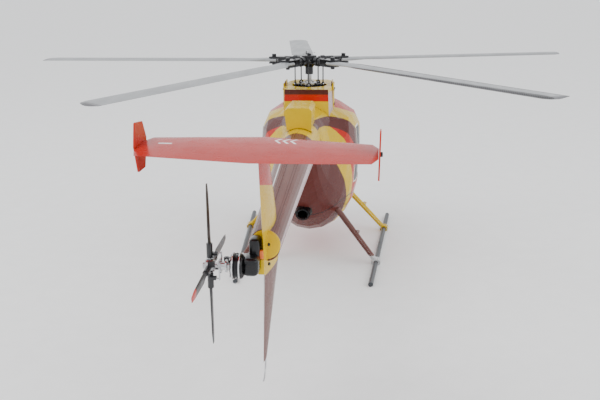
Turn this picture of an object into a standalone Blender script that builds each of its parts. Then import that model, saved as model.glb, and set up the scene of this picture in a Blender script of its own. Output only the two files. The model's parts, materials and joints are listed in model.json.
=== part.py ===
"""Five-blade radio-controlled model helicopter with a teardrop pod, T-tail and skids.

Run with: blender --background --python part.py
Units are metres. +Z is up, the nose points to -Y, the aircraft's left is +X.
The model is drawn with the main mast on the line x = y = 0 and the skids on z = 0.
A root empty then moves it, so that the box around the whole model stands centred on the origin.
"""

from math import atan2, cos, hypot, pi, radians, sin, sqrt, tan

import bmesh
import bpy
from mathutils import Matrix, Vector

# ---------------------------------------------------------------- driving sizes
# Fits
GAP = 0.0003                      # between pieces that touch
RUNNING_GAP = 0.0005              # between pieces that turn or slide on each other

# Main rotor
ROTOR_RADIUS = 0.500
ROTOR_HEIGHT = 0.347
BLADE_COUNT = 5
BLADE_CHORD = 0.040
BLADE_THICKNESS = 0.0046
BLADE_ROOT_WIDTH = 0.020
BLADE_ROOT_THICKNESS = 0.0060
BLADE_SWEEP_LENGTH = 0.014        # rounded part of the leading edge at the tip
ROTOR_REST_ANGLE = radians(6.8)
BLADE_DROOP = radians(1.1)

# Rotor head
MAST_RADIUS = 0.0040
MAST_FOOT = 0.140
HUB_RADIUS = 0.0150
HUB_HEIGHT = 0.0130
CAP_RADIUS = 0.0125
CAP_HEIGHT = 0.0035
SPINDLE_RADIUS = 0.0028
SPINDLE_END = 0.040
GRIP_START = 0.0175
GRIP_RADIUS = 0.0070
BOLT_DISTANCE = 0.0625            # mast axis to blade bolt
BOLT_RADIUS = 0.0020
FORK_LUG = 0.0026
FORK_WIDTH = 0.0170
ARM_REACH = 0.0160                # pitch axis to the ball on the grip's arm
ARM_DISTANCE = 0.0190             # mast axis to that ball, along the blade
BALL_RADIUS = 0.0022
LINK_RADIUS = 0.0011

# Swashplate
SWASH_HEIGHT = 0.3085             # centre of the link balls on the turning ring
SWASH_RING_RADIUS = 0.0135
SWASH_RING_HEIGHT = 0.0045
SWASH_FIXED_RADIUS = 0.0150
SWASH_FIXED_HEIGHT = 0.0045
SERVO_BALL_DISTANCE = 0.0215
SERVO_COUNT = 3

# Pod
NOSE_Y = -0.245
NOSE_HEIGHT = 0.128
POD_WIDEST_Y = -0.050
POD_HALF_WIDTH = 0.0845
POD_TOP = 0.2840
POD_BELLY = 0.0450
POD_WAIST = 0.165                 # height of the widest line
POD_END_Y = 0.150
SPLIT_Y = -0.088                  # the removable cabin front ends here
SILL_HEIGHT = 0.100               # and it stands on the belly pan at this height
WALL = 0.0016

# Tail boom
BOOM_END_Y = 0.612
BOOM_ROOT_RADIUS = 0.0300
BOOM_END_RADIUS = 0.0165
BOOM_ROOT_HEIGHT = 0.2390
BOOM_END_HEIGHT = 0.2060

# Tail surfaces
FIN_TOP = 0.3165
FIN_TOP_LEAD_Y = 0.5700
FIN_TOP_TRAIL_Y = 0.6030
FIN_ROOT_LEAD_Y = 0.5000
FIN_ROOT_TRAIL_Y = 0.5800
FIN_THICKNESS = 0.0090
VENTRAL_TIP_HEIGHT = 0.0835
VENTRAL_TIP_LEAD_Y = 0.5860
VENTRAL_TIP_TRAIL_Y = 0.5960
VENTRAL_ROOT_LEAD_Y = 0.4480
VENTRAL_ROOT_TRAIL_Y = 0.5700
TAILPLANE_SPAN = 0.2470
TAILPLANE_HEIGHT = 0.3220
TAILPLANE_TILT = radians(1.4)
TAILPLANE_ROOT_LEAD_Y = 0.5640
TAILPLANE_ROOT_CHORD = 0.0860
TAILPLANE_TIP_LEAD_Y = 0.5860
TAILPLANE_TIP_CHORD = 0.0480
TAILPLANE_THICKNESS = 0.105       # share of the chord
END_PLATE_HEIGHT = 0.0530
END_PLATE_THICKNESS = 0.0016

# Tail rotor
TAIL_AXIS_Y = 0.6020
TAIL_AXIS_HEIGHT = 0.1930
TAIL_ROTOR_RADIUS = 0.0910
TAIL_ROTOR_X = 0.0560
TAIL_BLADE_COUNT = 4
TAIL_BLADE_CHORD = 0.0115
TAIL_SHAFT_RADIUS = 0.0025

# Landing gear
SKID_RADIUS = 0.0042
SKID_FRONT_Y = -0.2500
SKID_REAR_Y = 0.1550
SKID_HALF_TREAD = 0.1322          # at the front clamp
SKID_TOE = 0.0690                 # sideways run per length
LEG_FRONT_Y = -0.1570
LEG_REAR_Y = 0.0420
LEG_TOP_HALF_WIDTH = 0.0600
LEG_FRONT_TOP_HEIGHT = 0.0900
LEG_REAR_TOP_HEIGHT = 0.0900

# Drive
GEAR_RADIUS = 0.0300
GEAR_HEIGHT = 0.1620
GEAR_WIDTH = 0.0060
PINION_RADIUS = 0.0050
MOTOR_RADIUS = 0.0145
MOTOR_LENGTH = 0.0360
FRAME_HALF_WIDTH = 0.0360
PLATE = 0.0020

# Colours: red, green, blue, roughness, metallic
COLOURS = {
    "red_paint": (0.80, 0.10, 0.06, 0.25, 0.0),
    "yellow_paint": (0.90, 0.72, 0.05, 0.28, 0.0),
    "maroon_paint": (0.30, 0.11, 0.09, 0.28, 0.0),
    "brown_paint": (0.42, 0.24, 0.21, 0.28, 0.0),
    "window": (0.05, 0.04, 0.04, 0.08, 0.0),
    "blade_grey": (0.42, 0.43, 0.44, 0.45, 0.0),
    "black_plastic": (0.03, 0.03, 0.035, 0.45, 0.0),
    "black_metal": (0.04, 0.04, 0.045, 0.30, 0.8),
    "steel": (0.62, 0.62, 0.63, 0.28, 1.0),
    "aluminium": (0.75, 0.76, 0.78, 0.30, 1.0),
    "dark_tube": (0.10, 0.11, 0.12, 0.40, 0.3),
    "white_plastic": (0.85, 0.84, 0.80, 0.45, 0.0),
    "motor_can": (0.55, 0.33, 0.12, 0.35, 0.9),
    "battery_wrap": (0.08, 0.12, 0.30, 0.40, 0.0),
}

POD_SIDES = 24
POD_POWER = 2.25                  # 2 is an ellipse, more is squarer
FOIL_STEPS = 6


# ---------------------------------------------------------------- basic solids
def mesh_from(bm):
    """Turn a bmesh into a mesh whose faces point outwards."""
    bmesh.ops.recalc_face_normals(bm, faces=bm.faces)
    mesh = bpy.data.meshes.new("shape")
    bm.to_mesh(mesh)
    bm.free()
    return mesh


def loft(rings):
    """Skin closed rings of equal length in order and cap the first and the last."""
    bm = bmesh.new()
    rows = [[bm.verts.new(point) for point in ring] for ring in rings]
    skin_rows(bm, rows)
    bm.faces.new(rows[0])
    bm.faces.new(rows[-1])
    return mesh_from(bm)


def skin_rows(bm, rows):
    """Triangles between following rows, laid so that the left side mirrors the right."""
    for row, following in zip(rows, rows[1:]):
        for i in range(len(row)):
            j = (i + 1) % len(row)
            a, b, c, d = row[i], row[j], following[j], following[i]
            if a.co.x + b.co.x > 0:
                triangles = ((a, b, c), (a, c, d))
            else:
                triangles = ((a, b, d), (b, c, d))
            for triangle in triangles:
                bm.faces.new(triangle)


def tube_shell(outer, inner):
    """Shell between two nested stacks of rings, open at both ends."""
    bm = bmesh.new()
    rows = [[bm.verts.new(point) for point in ring] for ring in outer + inner[::-1]]
    skin_rows(bm, rows + [rows[0]])
    return mesh_from(bm)


def cup_shell(outer, outer_tip, inner, inner_tip):
    """Shell between two nested stacks of rings, closed at its far end by a tip."""
    bm = bmesh.new()
    for rings, tip in ((outer, outer_tip), (inner, inner_tip)):
        rows = [[bm.verts.new(point) for point in ring] for ring in rings]
        skin_rows(bm, rows)
        end = bm.verts.new(tip)
        for i in range(len(rows[-1])):
            bm.faces.new((rows[-1][i], rows[-1][(i + 1) % len(rows[-1])], end))
    bm.verts.ensure_lookup_table()
    sides = len(outer[0])
    first_inner = len(outer) * sides + 1
    for i in range(sides):
        j = (i + 1) % sides
        corners = (i, j, first_inner + j, first_inner + i)
        bm.faces.new([bm.verts[corner] for corner in corners])
    return mesh_from(bm)


def box(low, high):
    """Box between two opposite corners."""
    bm = bmesh.new()
    bmesh.ops.create_cube(bm, size=1.0)
    size = [b - a for a, b in zip(low, high)]
    centre = [(a + b) / 2 for a, b in zip(low, high)]
    bmesh.ops.scale(bm, vec=size, verts=bm.verts)
    bmesh.ops.translate(bm, vec=centre, verts=bm.verts)
    return mesh_from(bm)


def rod(start, end, radius, sides=12, end_radius=None):
    """Round bar, or cone frustum, between two points."""
    start, end = Vector(start), Vector(end)
    along = end - start
    bm = bmesh.new()
    bmesh.ops.create_cone(
        bm, cap_ends=True, segments=sides, depth=along.length,
        radius1=radius, radius2=radius if end_radius is None else end_radius,
    )
    turn = along.to_track_quat("Z", "Y").to_matrix().to_4x4()
    bmesh.ops.transform(bm, matrix=Matrix.Translation((start + end) / 2) @ turn, verts=bm.verts)
    return mesh_from(bm)


def ball(centre, radius):
    bm = bmesh.new()
    bmesh.ops.create_uvsphere(bm, u_segments=8, v_segments=4, radius=radius)
    bmesh.ops.translate(bm, vec=centre, verts=bm.verts)
    return mesh_from(bm)


def turned(profile, sides=24, axis="Z", centre=(0, 0, 0)):
    """Solid of revolution from (radius, height) points; a closed loop of them leaves a bore."""
    bm = bmesh.new()
    points = [bm.verts.new((radius, 0, height)) for radius, height in profile]
    edges = [bm.edges.new(pair) for pair in zip(points, points[1:] + points[:1])]
    bmesh.ops.spin(
        bm, geom=points + edges, axis=(0, 0, 1), cent=(0, 0, 0),
        angle=2 * pi, steps=sides, use_merge=True,
    )
    bmesh.ops.remove_doubles(bm, verts=bm.verts, dist=1e-6)
    bmesh.ops.dissolve_degenerate(bm, edges=bm.edges, dist=1e-7)
    turns = {"Z": Matrix.Identity(4), "X": Matrix.Rotation(pi / 2, 4, "Y")}
    bmesh.ops.transform(bm, matrix=Matrix.Translation(centre) @ turns[axis], verts=bm.verts)
    return mesh_from(bm)


def washer(outer, bore, low, high, sides=24, axis="Z", centre=(0, 0, 0)):
    """Flat ring."""
    return turned([(bore, low), (outer, low), (outer, high), (bore, high)], sides, axis, centre)


def prism(outline, axis, start, end):
    """Outline extruded along X or Y: its points are (y, z) or (x, z)."""
    def point(pair, depth):
        return (depth, pair[0], pair[1]) if axis == "X" else (pair[0], depth, pair[1])
    return loft([[point(pair, depth) for pair in outline] for depth in (start, end)])


def rounded(corners, radius, steps=4):
    """Closed outline through the corners, each one replaced by an arc."""
    outline = []
    count = len(corners)
    for i, corner in enumerate(corners):
        here = Vector(corner)
        before = (Vector(corners[i - 1]) - here).normalized()
        after = (Vector(corners[(i + 1) % count]) - here).normalized()
        half = before.angle(after) / 2
        middle = here + (before + after).normalized() * radius / sin(half)
        first = here + before * radius / tan(half) - middle
        last = here + after * radius / tan(half) - middle
        sweep = first.angle_signed(last)
        for step in range(steps + 1):
            outline.append(tuple(middle + Matrix.Rotation(-sweep * step / steps, 2) @ first))
    return outline


def moved(mesh, matrix):
    """Copy of a mesh under a transform."""
    copy = mesh.copy()
    copy.transform(matrix)
    return copy


def mirrored(mesh):
    """Copy of a mesh on the other side of the plane x = 0."""
    copy = moved(mesh, Matrix.Scale(-1, 4, (1, 0, 0)))
    copy.flip_normals()
    return copy


def boolean(operation, mesh, tools):
    """Join, cut or intersect meshes with Boolean modifiers and return the result."""
    things = []
    for shape in [mesh, *tools]:
        thing = bpy.data.objects.new("temporary", shape)
        bpy.context.scene.collection.objects.link(thing)
        things.append(thing)
    for tool in things[1:]:
        modifier = things[0].modifiers.new("step", "BOOLEAN")
        modifier.operation = operation
        modifier.solver = "EXACT"
        modifier.object = tool
    graph = bpy.context.evaluated_depsgraph_get()
    result = bpy.data.meshes.new_from_object(things[0].evaluated_get(graph))
    for thing in things:
        bpy.data.objects.remove(thing)
    return result


def joined(*meshes):
    return boolean("UNION", meshes[0], meshes[1:])


def cut(mesh, *tools):
    return boolean("DIFFERENCE", mesh, tools)


def common(mesh, tool):
    return boolean("INTERSECT", mesh, [tool])


# ---------------------------------------------------------------- placing
def paint(name):
    material = bpy.data.materials.get(name)
    if material is None:
        red, green, blue, roughness, metallic = COLOURS[name]
        material = bpy.data.materials.new(name)
        material.use_nodes = True
        shader = material.node_tree.nodes["Principled BSDF"]
        shader.inputs["Base Color"].default_value = (red, green, blue, 1.0)
        shader.inputs["Roughness"].default_value = roughness
        shader.inputs["Metallic"].default_value = metallic
        material.diffuse_color = (red, green, blue, 1.0)
    return material


def place(name, mesh, colour, location=(0, 0, 0), turn=0.0, parent=None):
    """Make the named piece from a mesh given about its own origin."""
    if mesh.users:
        shape = mesh
    else:
        shape = mesh
        shape.name = name
        shape.materials.clear()
        shape.materials.append(paint(colour))
        shape.polygons.foreach_set("material_index", [0] * len(shape.polygons))
        shape.shade_smooth()
        shape.set_sharp_from_angle(angle=radians(32))
    piece = bpy.data.objects.new(name, shape)
    piece.location = location
    piece.rotation_euler = (0, 0, turn)
    piece.parent = parent or bpy.data.objects["stand"]
    bpy.context.scene.collection.objects.link(piece)
    return piece


# ---------------------------------------------------------------- pod and boom lines
def blend(start, end, share):
    return start + (end - start) * share


def boom_share(y):
    return (y - POD_END_Y) / (BOOM_END_Y - POD_END_Y)


def boom_height(y):
    return blend(BOOM_ROOT_HEIGHT, BOOM_END_HEIGHT, boom_share(y))


def boom_radius(y):
    return blend(BOOM_ROOT_RADIUS, BOOM_END_RADIUS, boom_share(y))


def boom_ring(y, inset, sides=24):
    radius = boom_radius(y) - inset
    angles = [2 * pi * i / sides for i in range(sides)]
    return [(radius * cos(a), y, boom_height(y) + radius * sin(a)) for a in angles]


def pod_lines(y, inset):
    """Half width, top, bottom and waist height of the pod at a station."""
    front_length = POD_WIDEST_Y - NOSE_Y - inset
    if y < POD_WIDEST_Y:
        share = min((POD_WIDEST_Y - y) / front_length, 1.0)
        half_width = POD_HALF_WIDTH * (1 - share**2.4) ** 0.55
        top = NOSE_HEIGHT + (POD_TOP - NOSE_HEIGHT) * (1 - share**1.9) ** 0.62
        bottom = NOSE_HEIGHT - (NOSE_HEIGHT - POD_BELLY) * (1 - share**3.0) ** 0.5
        waist = NOSE_HEIGHT + (POD_WAIST - NOSE_HEIGHT) * (1 - share**2) ** 0.5
        fade = min(1.0, half_width / (4 * WALL))
        inset = inset * fade
    else:
        share = (y - POD_WIDEST_Y) / (POD_END_Y - POD_WIDEST_Y)
        ease = (1 - cos(pi * share**1.25)) / 2
        half_width = blend(POD_HALF_WIDTH, BOOM_ROOT_RADIUS, ease)
        top = blend(POD_TOP, BOOM_ROOT_HEIGHT + BOOM_ROOT_RADIUS, share**2)
        bottom = blend(POD_BELLY, BOOM_ROOT_HEIGHT - BOOM_ROOT_RADIUS, share**2.7)
        waist = blend(POD_WAIST, BOOM_ROOT_HEIGHT, share**1.6)
    return half_width - inset, top - inset, bottom + inset, waist


def pod_ring(y, inset):
    half_width, top, bottom, waist = pod_lines(y, inset)
    power = 2 / POD_POWER if y < POD_WIDEST_Y else 2 / blend(POD_POWER, 2, boomward(y))
    ring = []
    for i in range(POD_SIDES):
        c, s = cos(2 * pi * i / POD_SIDES), sin(2 * pi * i / POD_SIDES)
        across = abs(c) ** power * (1 if c > 0 else -1)
        up = abs(s) ** power
        height = (top - waist) * up if s > 0 else (bottom - waist) * up
        ring.append((half_width * across, y, waist + height))
    return ring


def boomward(y):
    return (y - POD_WIDEST_Y) / (POD_END_Y - POD_WIDEST_Y)


def nose_stations(inset, count=8):
    reach = NOSE_Y + inset - SPLIT_Y
    return [SPLIT_Y + reach * sin(pi / 2 * i / count) for i in range(count)]


def rear_stations(start, count=9):
    return [blend(start, POD_END_Y, i / count) for i in range(count + 1)]


def pod_rings(inset):
    """The pod's rings from its rear joint to the nose."""
    rear = [pod_ring(y, inset) for y in rear_stations(SPLIT_Y)][::-1]
    front = [pod_ring(y, inset) for y in nose_stations(inset)][1:]
    return rear + front


def pod_envelope(clearance):
    """The pod's outer form as one solid, grown by a clearance."""
    return loft(pod_rings(-clearance))


def boom_envelope(clearance):
    return loft([boom_ring(y, -clearance) for y in (POD_END_Y - 0.010, BOOM_END_Y + 0.010)])


# ---------------------------------------------------------------- windows
WINDSCREEN = rounded([(0.005, 0.112), (0.050, 0.130), (0.054, 0.205), (0.034, 0.256), (0.005, 0.262)], 0.006)
FRONT_DOOR_WINDOW = rounded([(-0.168, 0.135), (-0.101, 0.122), (-0.101, 0.228), (-0.138, 0.232)], 0.010)
REAR_DOOR_WINDOW = rounded([(-0.074, 0.132), (-0.026, 0.140), (-0.026, 0.215), (-0.074, 0.228)], 0.014)


def shrunk(outline, amount):
    """The same outline, drawn in by a small amount all round."""
    centre = sum((Vector(point) for point in outline), Vector((0, 0))) / len(outline)
    return [tuple(Vector(p) - (Vector(p) - centre).normalized() * amount * 1.5) for p in outline]


def side_cutter(outline):
    return prism(outline, "X", 0.030, POD_HALF_WIDTH + 0.010)


def front_cutter(outline):
    return prism(outline, "Y", NOSE_Y - 0.010, SPLIT_Y - 0.008)


def pod_shell(outer_inset, inner_inset):
    """The whole pod from its rear joint to the nose as one shell, open at the joint."""
    stacks = []
    for inset in (outer_inset, inner_inset):
        stacks += [pod_rings(inset), (0, NOSE_Y + inset, NOSE_HEIGHT)]
    return cup_shell(*stacks)


def cabin_space(gap):
    """Box over the part of the pod that lifts off with the cabin front."""
    return box((-0.2, NOSE_Y - 0.05, SILL_HEIGHT + gap), (0.2, SPLIT_Y - gap, POD_TOP + 0.05))


def build_cabin():
    windscreen = front_cutter(WINDSCREEN)
    door_window = side_cutter(FRONT_DOOR_WINDOW)
    shell = common(pod_shell(0, WALL), cabin_space(GAP / 2))
    openings = (windscreen, mirrored(windscreen), door_window, mirrored(door_window))
    place("cabin", cut(shell, *openings), "red_paint")
    pane_shell = pod_shell(GAP / 2, WALL - GAP)
    windscreen_pane = common(pane_shell, front_cutter(shrunk(WINDSCREEN, GAP)))
    door_pane = common(pane_shell, side_cutter(shrunk(FRONT_DOOR_WINDOW, GAP)))
    place("windscreen_left", windscreen_pane, "window")
    place("windscreen_right", mirrored(windscreen_pane), "window")
    place("front_door_window_left", door_pane, "window")
    place("front_door_window_right", mirrored(door_pane), "window")


def build_pod():
    window = side_cutter(REAR_DOOR_WINDOW)
    roof_opening = box((-0.030, -0.060, POD_TOP - 0.03), (0.030, 0.040, POD_TOP + 0.03))
    exhaust_hole = rod(exhaust_point(-0.020), exhaust_point(0.030), EXHAUST_RADIUS + GAP, 20)
    openings = (window, mirrored(window), roof_opening, exhaust_hole)
    place("pod", cut(pod_shell(0, WALL), cabin_space(-GAP / 2), *openings), "maroon_paint")
    pane = common(pod_shell(GAP / 2, WALL - GAP), side_cutter(shrunk(REAR_DOOR_WINDOW, GAP)))
    place("rear_door_window_left", pane, "window")
    place("rear_door_window_right", mirrored(pane), "window")


# ---------------------------------------------------------------- exhaust
EXHAUST_RADIUS = 0.0105
EXHAUST_Y = 0.088
EXHAUST_HEIGHT = 0.1080
EXHAUST_DROP = radians(20)


def exhaust_point(distance):
    """Point on the exhaust's axis, which runs back and down."""
    return (0, EXHAUST_Y + distance * cos(EXHAUST_DROP), EXHAUST_HEIGHT - distance * sin(EXHAUST_DROP))


def build_exhaust():
    pipe = rod(exhaust_point(-0.016), exhaust_point(0.012), EXHAUST_RADIUS, 20)
    bore = rod(exhaust_point(-0.013), exhaust_point(0.020), EXHAUST_RADIUS - 0.0012, 20)
    place("exhaust", cut(pipe, bore), "black_metal")


# ---------------------------------------------------------------- mast fairing and rear fairing
FAIRING_TOP = 0.3060
FAIRING_WALL = 0.0018
FAIRING_OPENING = 0.0300
# Station, half width at the top, from front to back
FAIRING_PLAN = ((-0.070, 0.028), (-0.050, 0.038), (0.000, 0.0420), (0.030, 0.0395), (0.060, 0.0360))


def fairing_outline(inset):
    left = [(half_width - inset, y) for y, half_width in FAIRING_PLAN]
    left[0] = (left[0][0], left[0][1] + inset)
    left[-1] = (left[-1][0], left[-1][1] - inset)
    return left + [(-x, y) for x, y in left[::-1]]


def fairing_block(inset, low, high):
    """The mast fairing's plan drawn up with sloping walls and a raked front."""
    def ring(height):
        share = (high - height) / (high - low)
        points = []
        for x, y in fairing_outline(inset):
            rake = 0.016 * share if y < -0.060 else 0.0
            points.append((x * (1 + 0.06 * share), y - rake, height))
        return points
    return loft([ring(low), ring(high)])


def build_mast_fairing():
    low = POD_TOP - 0.045
    block = fairing_block(0, low, FAIRING_TOP)
    hollow = fairing_block(FAIRING_WALL, low - 0.010, FAIRING_TOP - FAIRING_WALL)
    opening = rod((0, 0, FAIRING_TOP - 0.010), (0, 0, FAIRING_TOP + 0.010), FAIRING_OPENING, 28)
    rear_y = FAIRING_PLAN[-1][0]
    outlet = box(
        (-0.028, rear_y - 0.0008, FAIRING_TOP - 0.011), (0.028, rear_y + 0.010, FAIRING_TOP - 0.002)
    )
    cheek = box((0.0385, -0.012, FAIRING_TOP - 0.004), (0.0402, 0.016, FAIRING_TOP + 0.008))
    shell = joined(cut(block, hollow), cheek, mirrored(cheek))
    place("mast_fairing", cut(shell, opening, outlet, pod_envelope(GAP)), "yellow_paint")


REAR_BOX_FRONT_Y = 0.128
REAR_BOX_REAR_Y = 0.196
REAR_BOX_TOP = 0.2980
REAR_BOX_HALF_WIDTH = 0.0205


def build_rear_fairing():
    half, top = REAR_BOX_HALF_WIDTH, REAR_BOX_TOP
    bevel = 0.0045
    section = [
        (-half, top - bevel), (-half + bevel, top), (half - bevel, top), (half, top - bevel),
        (half * 0.86, 0.262), (half * 1.20, 0.248), (-half * 1.20, 0.248), (-half * 0.86, 0.262),
    ]
    block = prism(section, "Y", REAR_BOX_FRONT_Y, REAR_BOX_REAR_Y)
    slope = box((-0.1, REAR_BOX_REAR_Y, 0.20), (0.1, REAR_BOX_REAR_Y + 0.05, 0.35))
    turn = Matrix.Translation((0, REAR_BOX_REAR_Y, top)) @ Matrix.Rotation(radians(-20), 4, "X")
    slope = moved(slope, turn @ Matrix.Translation((0, -REAR_BOX_REAR_Y, -top)))
    shaped = cut(block, slope, pod_envelope(GAP), boom_envelope(GAP))
    place("rear_fairing", shaped, "yellow_paint")


# ---------------------------------------------------------------- tail boom and surfaces
TAIL_BAY_Y = 0.574                # the boom's left half ends here and leaves the gearbox room


def build_boom():
    start = POD_END_Y + GAP
    outer = [boom_ring(y, 0) for y in (start, blend(start, BOOM_END_Y, 0.5), BOOM_END_Y)]
    inner = [boom_ring(y, WALL) for y in (start, blend(start, BOOM_END_Y, 0.5), BOOM_END_Y - 0.003)]
    outer_tip = (0, BOOM_END_Y + 0.002, boom_height(BOOM_END_Y))
    inner_tip = (0, BOOM_END_Y - 0.002, boom_height(BOOM_END_Y))
    shell = cup_shell(outer, outer_tip, inner, inner_tip)
    bay = box((0.0008, TAIL_BAY_Y, 0.15), (0.05, BOOM_END_Y + 0.02, 0.25))
    place("tail_boom", cut(shell, bay), "brown_paint")


def foil_half_thickness(share):
    """Half thickness of a symmetrical aerofoil, as a share of its full thickness."""
    return 5 * (
        0.2969 * sqrt(share) - 0.1260 * share - 0.3516 * share**2
        + 0.2843 * share**3 - 0.1015 * share**4
    )


def foil(chord, thickness, trailing_edge=0.0006):
    """Aerofoil outline from the leading edge round: (distance back, sideways)."""
    shares = [(1 - cos(pi * i / FOIL_STEPS)) / 2 for i in range(FOIL_STEPS + 1)]
    side = []
    for share in shares[1:]:
        half = foil_half_thickness(share) * thickness
        side.append((share * chord, max(half, trailing_edge / 2)))
    return [(0, 0)] + side + [(back, -out) for back, out in side[::-1]]


def upright_foil(height, lead, trail, thickness):
    return [(out, lead + back, height) for back, out in foil(trail - lead, thickness)]


def build_fins():
    root_height = boom_height(FIN_ROOT_TRAIL_Y) - 0.002
    upper = loft([
        upright_foil(root_height, FIN_ROOT_LEAD_Y, FIN_ROOT_TRAIL_Y, FIN_THICKNESS),
        upright_foil(FIN_TOP, FIN_TOP_LEAD_Y, FIN_TOP_TRAIL_Y, FIN_THICKNESS * 0.7),
    ])
    ventral = loft([
        upright_foil(VENTRAL_TIP_HEIGHT, VENTRAL_TIP_LEAD_Y, VENTRAL_TIP_TRAIL_Y, 0.0030),
        upright_foil(root_height, VENTRAL_ROOT_LEAD_Y, VENTRAL_ROOT_TRAIL_Y, FIN_THICKNESS * 0.8),
    ])
    place("fin", cut(upper, boom_envelope(GAP)), "red_paint")
    place("ventral_fin", cut(ventral, boom_envelope(GAP)), "brown_paint")


def build_tailplane():
    half = TAILPLANE_SPAN / 2 - END_PLATE_THICKNESS - GAP

    def ring(x):
        share = abs(x) / half
        lead = blend(TAILPLANE_ROOT_LEAD_Y, TAILPLANE_TIP_LEAD_Y, share)
        chord = blend(TAILPLANE_ROOT_CHORD, TAILPLANE_TIP_CHORD, share)
        section = foil(chord, TAILPLANE_THICKNESS * chord, 0.0010)
        return [(x, lead + back, out) for back, out in section]
    plane = loft([ring(-half), ring(0), ring(half)])
    plate_y = TAILPLANE_TIP_LEAD_Y
    outline = [
        (plate_y + 0.001, 0.004), (plate_y + 0.015, 0.0235), (plate_y + 0.042, 0.0265),
        (plate_y + 0.046, 0.002), (plate_y + 0.033, -0.0265), (plate_y + 0.008, -0.0265),
    ]
    inner_x = TAILPLANE_SPAN / 2 - END_PLATE_THICKNESS
    plate = prism(rounded(outline, 0.002, 2), "X", inner_x, TAILPLANE_SPAN / 2)
    tilt = Matrix.Translation((0, 0, TAILPLANE_HEIGHT)) @ Matrix.Rotation(-TAILPLANE_TILT, 4, "Y")
    fin_space = box((-0.02, 0.4, FIN_TOP - 0.02), (0.02, 0.8, FIN_TOP + GAP))
    place("tailplane", cut(moved(plane, tilt), fin_space), "red_paint")
    place("end_plate_left", moved(plate, tilt), "red_paint")
    place("end_plate_right", moved(mirrored(plate), tilt), "red_paint")


def build_tail_skid():
    """Bent wire under the ventral fin that keeps the tail rotor off the ground."""
    start = Vector((0, (VENTRAL_TIP_LEAD_Y + VENTRAL_TIP_TRAIL_Y) / 2, VENTRAL_TIP_HEIGHT - GAP))
    curve = bpy.data.curves.new("tail_skid", "CURVE")
    curve.dimensions = "3D"
    curve.bevel_depth = 0.0009
    curve.bevel_resolution = 2
    curve.use_fill_caps = True
    spline = curve.splines.new("POLY")
    steps = 8
    spline.points.add(steps + 1)
    bend_radius = 0.016
    spline.points[0].co = (*start, 1)
    for i in range(steps + 1):
        angle = radians(100) * i / steps
        point = start + Vector((0, bend_radius * (1 - cos(angle)), -0.004 - bend_radius * sin(angle)))
        spline.points[i + 1].co = (*point, 1)
    curve.materials.append(paint("black_metal"))
    wire = bpy.data.objects.new("tail_skid", curve)
    wire.parent = bpy.data.objects["stand"]
    bpy.context.scene.collection.objects.link(wire)


# ---------------------------------------------------------------- landing gear
LEG_DEPTH = 0.0140                # fore and aft
LEG_WIDTH = 0.0080
CLAMP_LENGTH = 0.0150
CLAMP_WALL = 0.0022


def skid_x(y):
    """Sideways place of the left skid's centre line."""
    return SKID_HALF_TREAD - SKID_TOE * (y - LEG_FRONT_Y)


def build_skids():
    start = (skid_x(SKID_FRONT_Y), SKID_FRONT_Y, SKID_RADIUS)
    end = (skid_x(SKID_REAR_Y), SKID_REAR_Y, SKID_RADIUS)
    tube = rod(start, end, SKID_RADIUS, 16)
    place("skid_left", tube, "dark_tube")
    place("skid_right", mirrored(tube), "dark_tube")


def leg(foot_y, top_y, top_height):
    """Streamlined strut from the pod to a clamp round the skid."""
    foot = Vector((skid_x(foot_y), foot_y, SKID_RADIUS))
    top = Vector((LEG_TOP_HALF_WIDTH * 0.6, top_y, top_height + 0.024))
    sides = 14

    def ring(centre, scale):
        points = []
        for i in range(sides):
            angle = 2 * pi * i / sides
            across = LEG_WIDTH / 2 * scale * cos(angle)
            points.append(centre + Vector((across * 0.75, LEG_DEPTH / 2 * scale * sin(angle), across * 0.66)))
        return points
    strut = loft([ring(top, 1.1), ring(foot + (top - foot).normalized() * SKID_RADIUS, 0.85)])
    along = Vector((-SKID_TOE, 1, 0)).normalized() * CLAMP_LENGTH / 2
    sleeve = rod(foot - along, foot + along, SKID_RADIUS + CLAMP_WALL, 16)
    bore = rod(foot - along * 1.5, foot + along * 1.5, SKID_RADIUS + GAP, 16)
    floor = box((0, foot_y - 0.05, -0.05), (0.3, foot_y + 0.05, 0.0004))
    nub_foot = foot + (top - foot) * 0.42
    nub = rod(nub_foot, nub_foot + Vector((0.003, 0, 0.0085)), 0.0022, 8)
    return cut(joined(strut, sleeve, nub), bore, floor, pod_envelope(GAP))


def build_legs():
    front = leg(LEG_FRONT_Y, LEG_FRONT_Y + 0.020, LEG_FRONT_TOP_HEIGHT)
    rear = leg(LEG_REAR_Y, LEG_REAR_Y - 0.012, LEG_REAR_TOP_HEIGHT)
    place("front_leg_left", front, "yellow_paint")
    place("front_leg_right", mirrored(front), "yellow_paint")
    place("rear_leg_left", rear, "brown_paint")
    place("rear_leg_right", mirrored(rear), "brown_paint")


# ---------------------------------------------------------------- mast and hub
def build_mast():
    top = ROTOR_HEIGHT + HUB_HEIGHT / 2 - 0.002
    place("mast", rod((0, 0, MAST_FOOT), (0, 0, top), MAST_RADIUS, 20), "steel")


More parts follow.
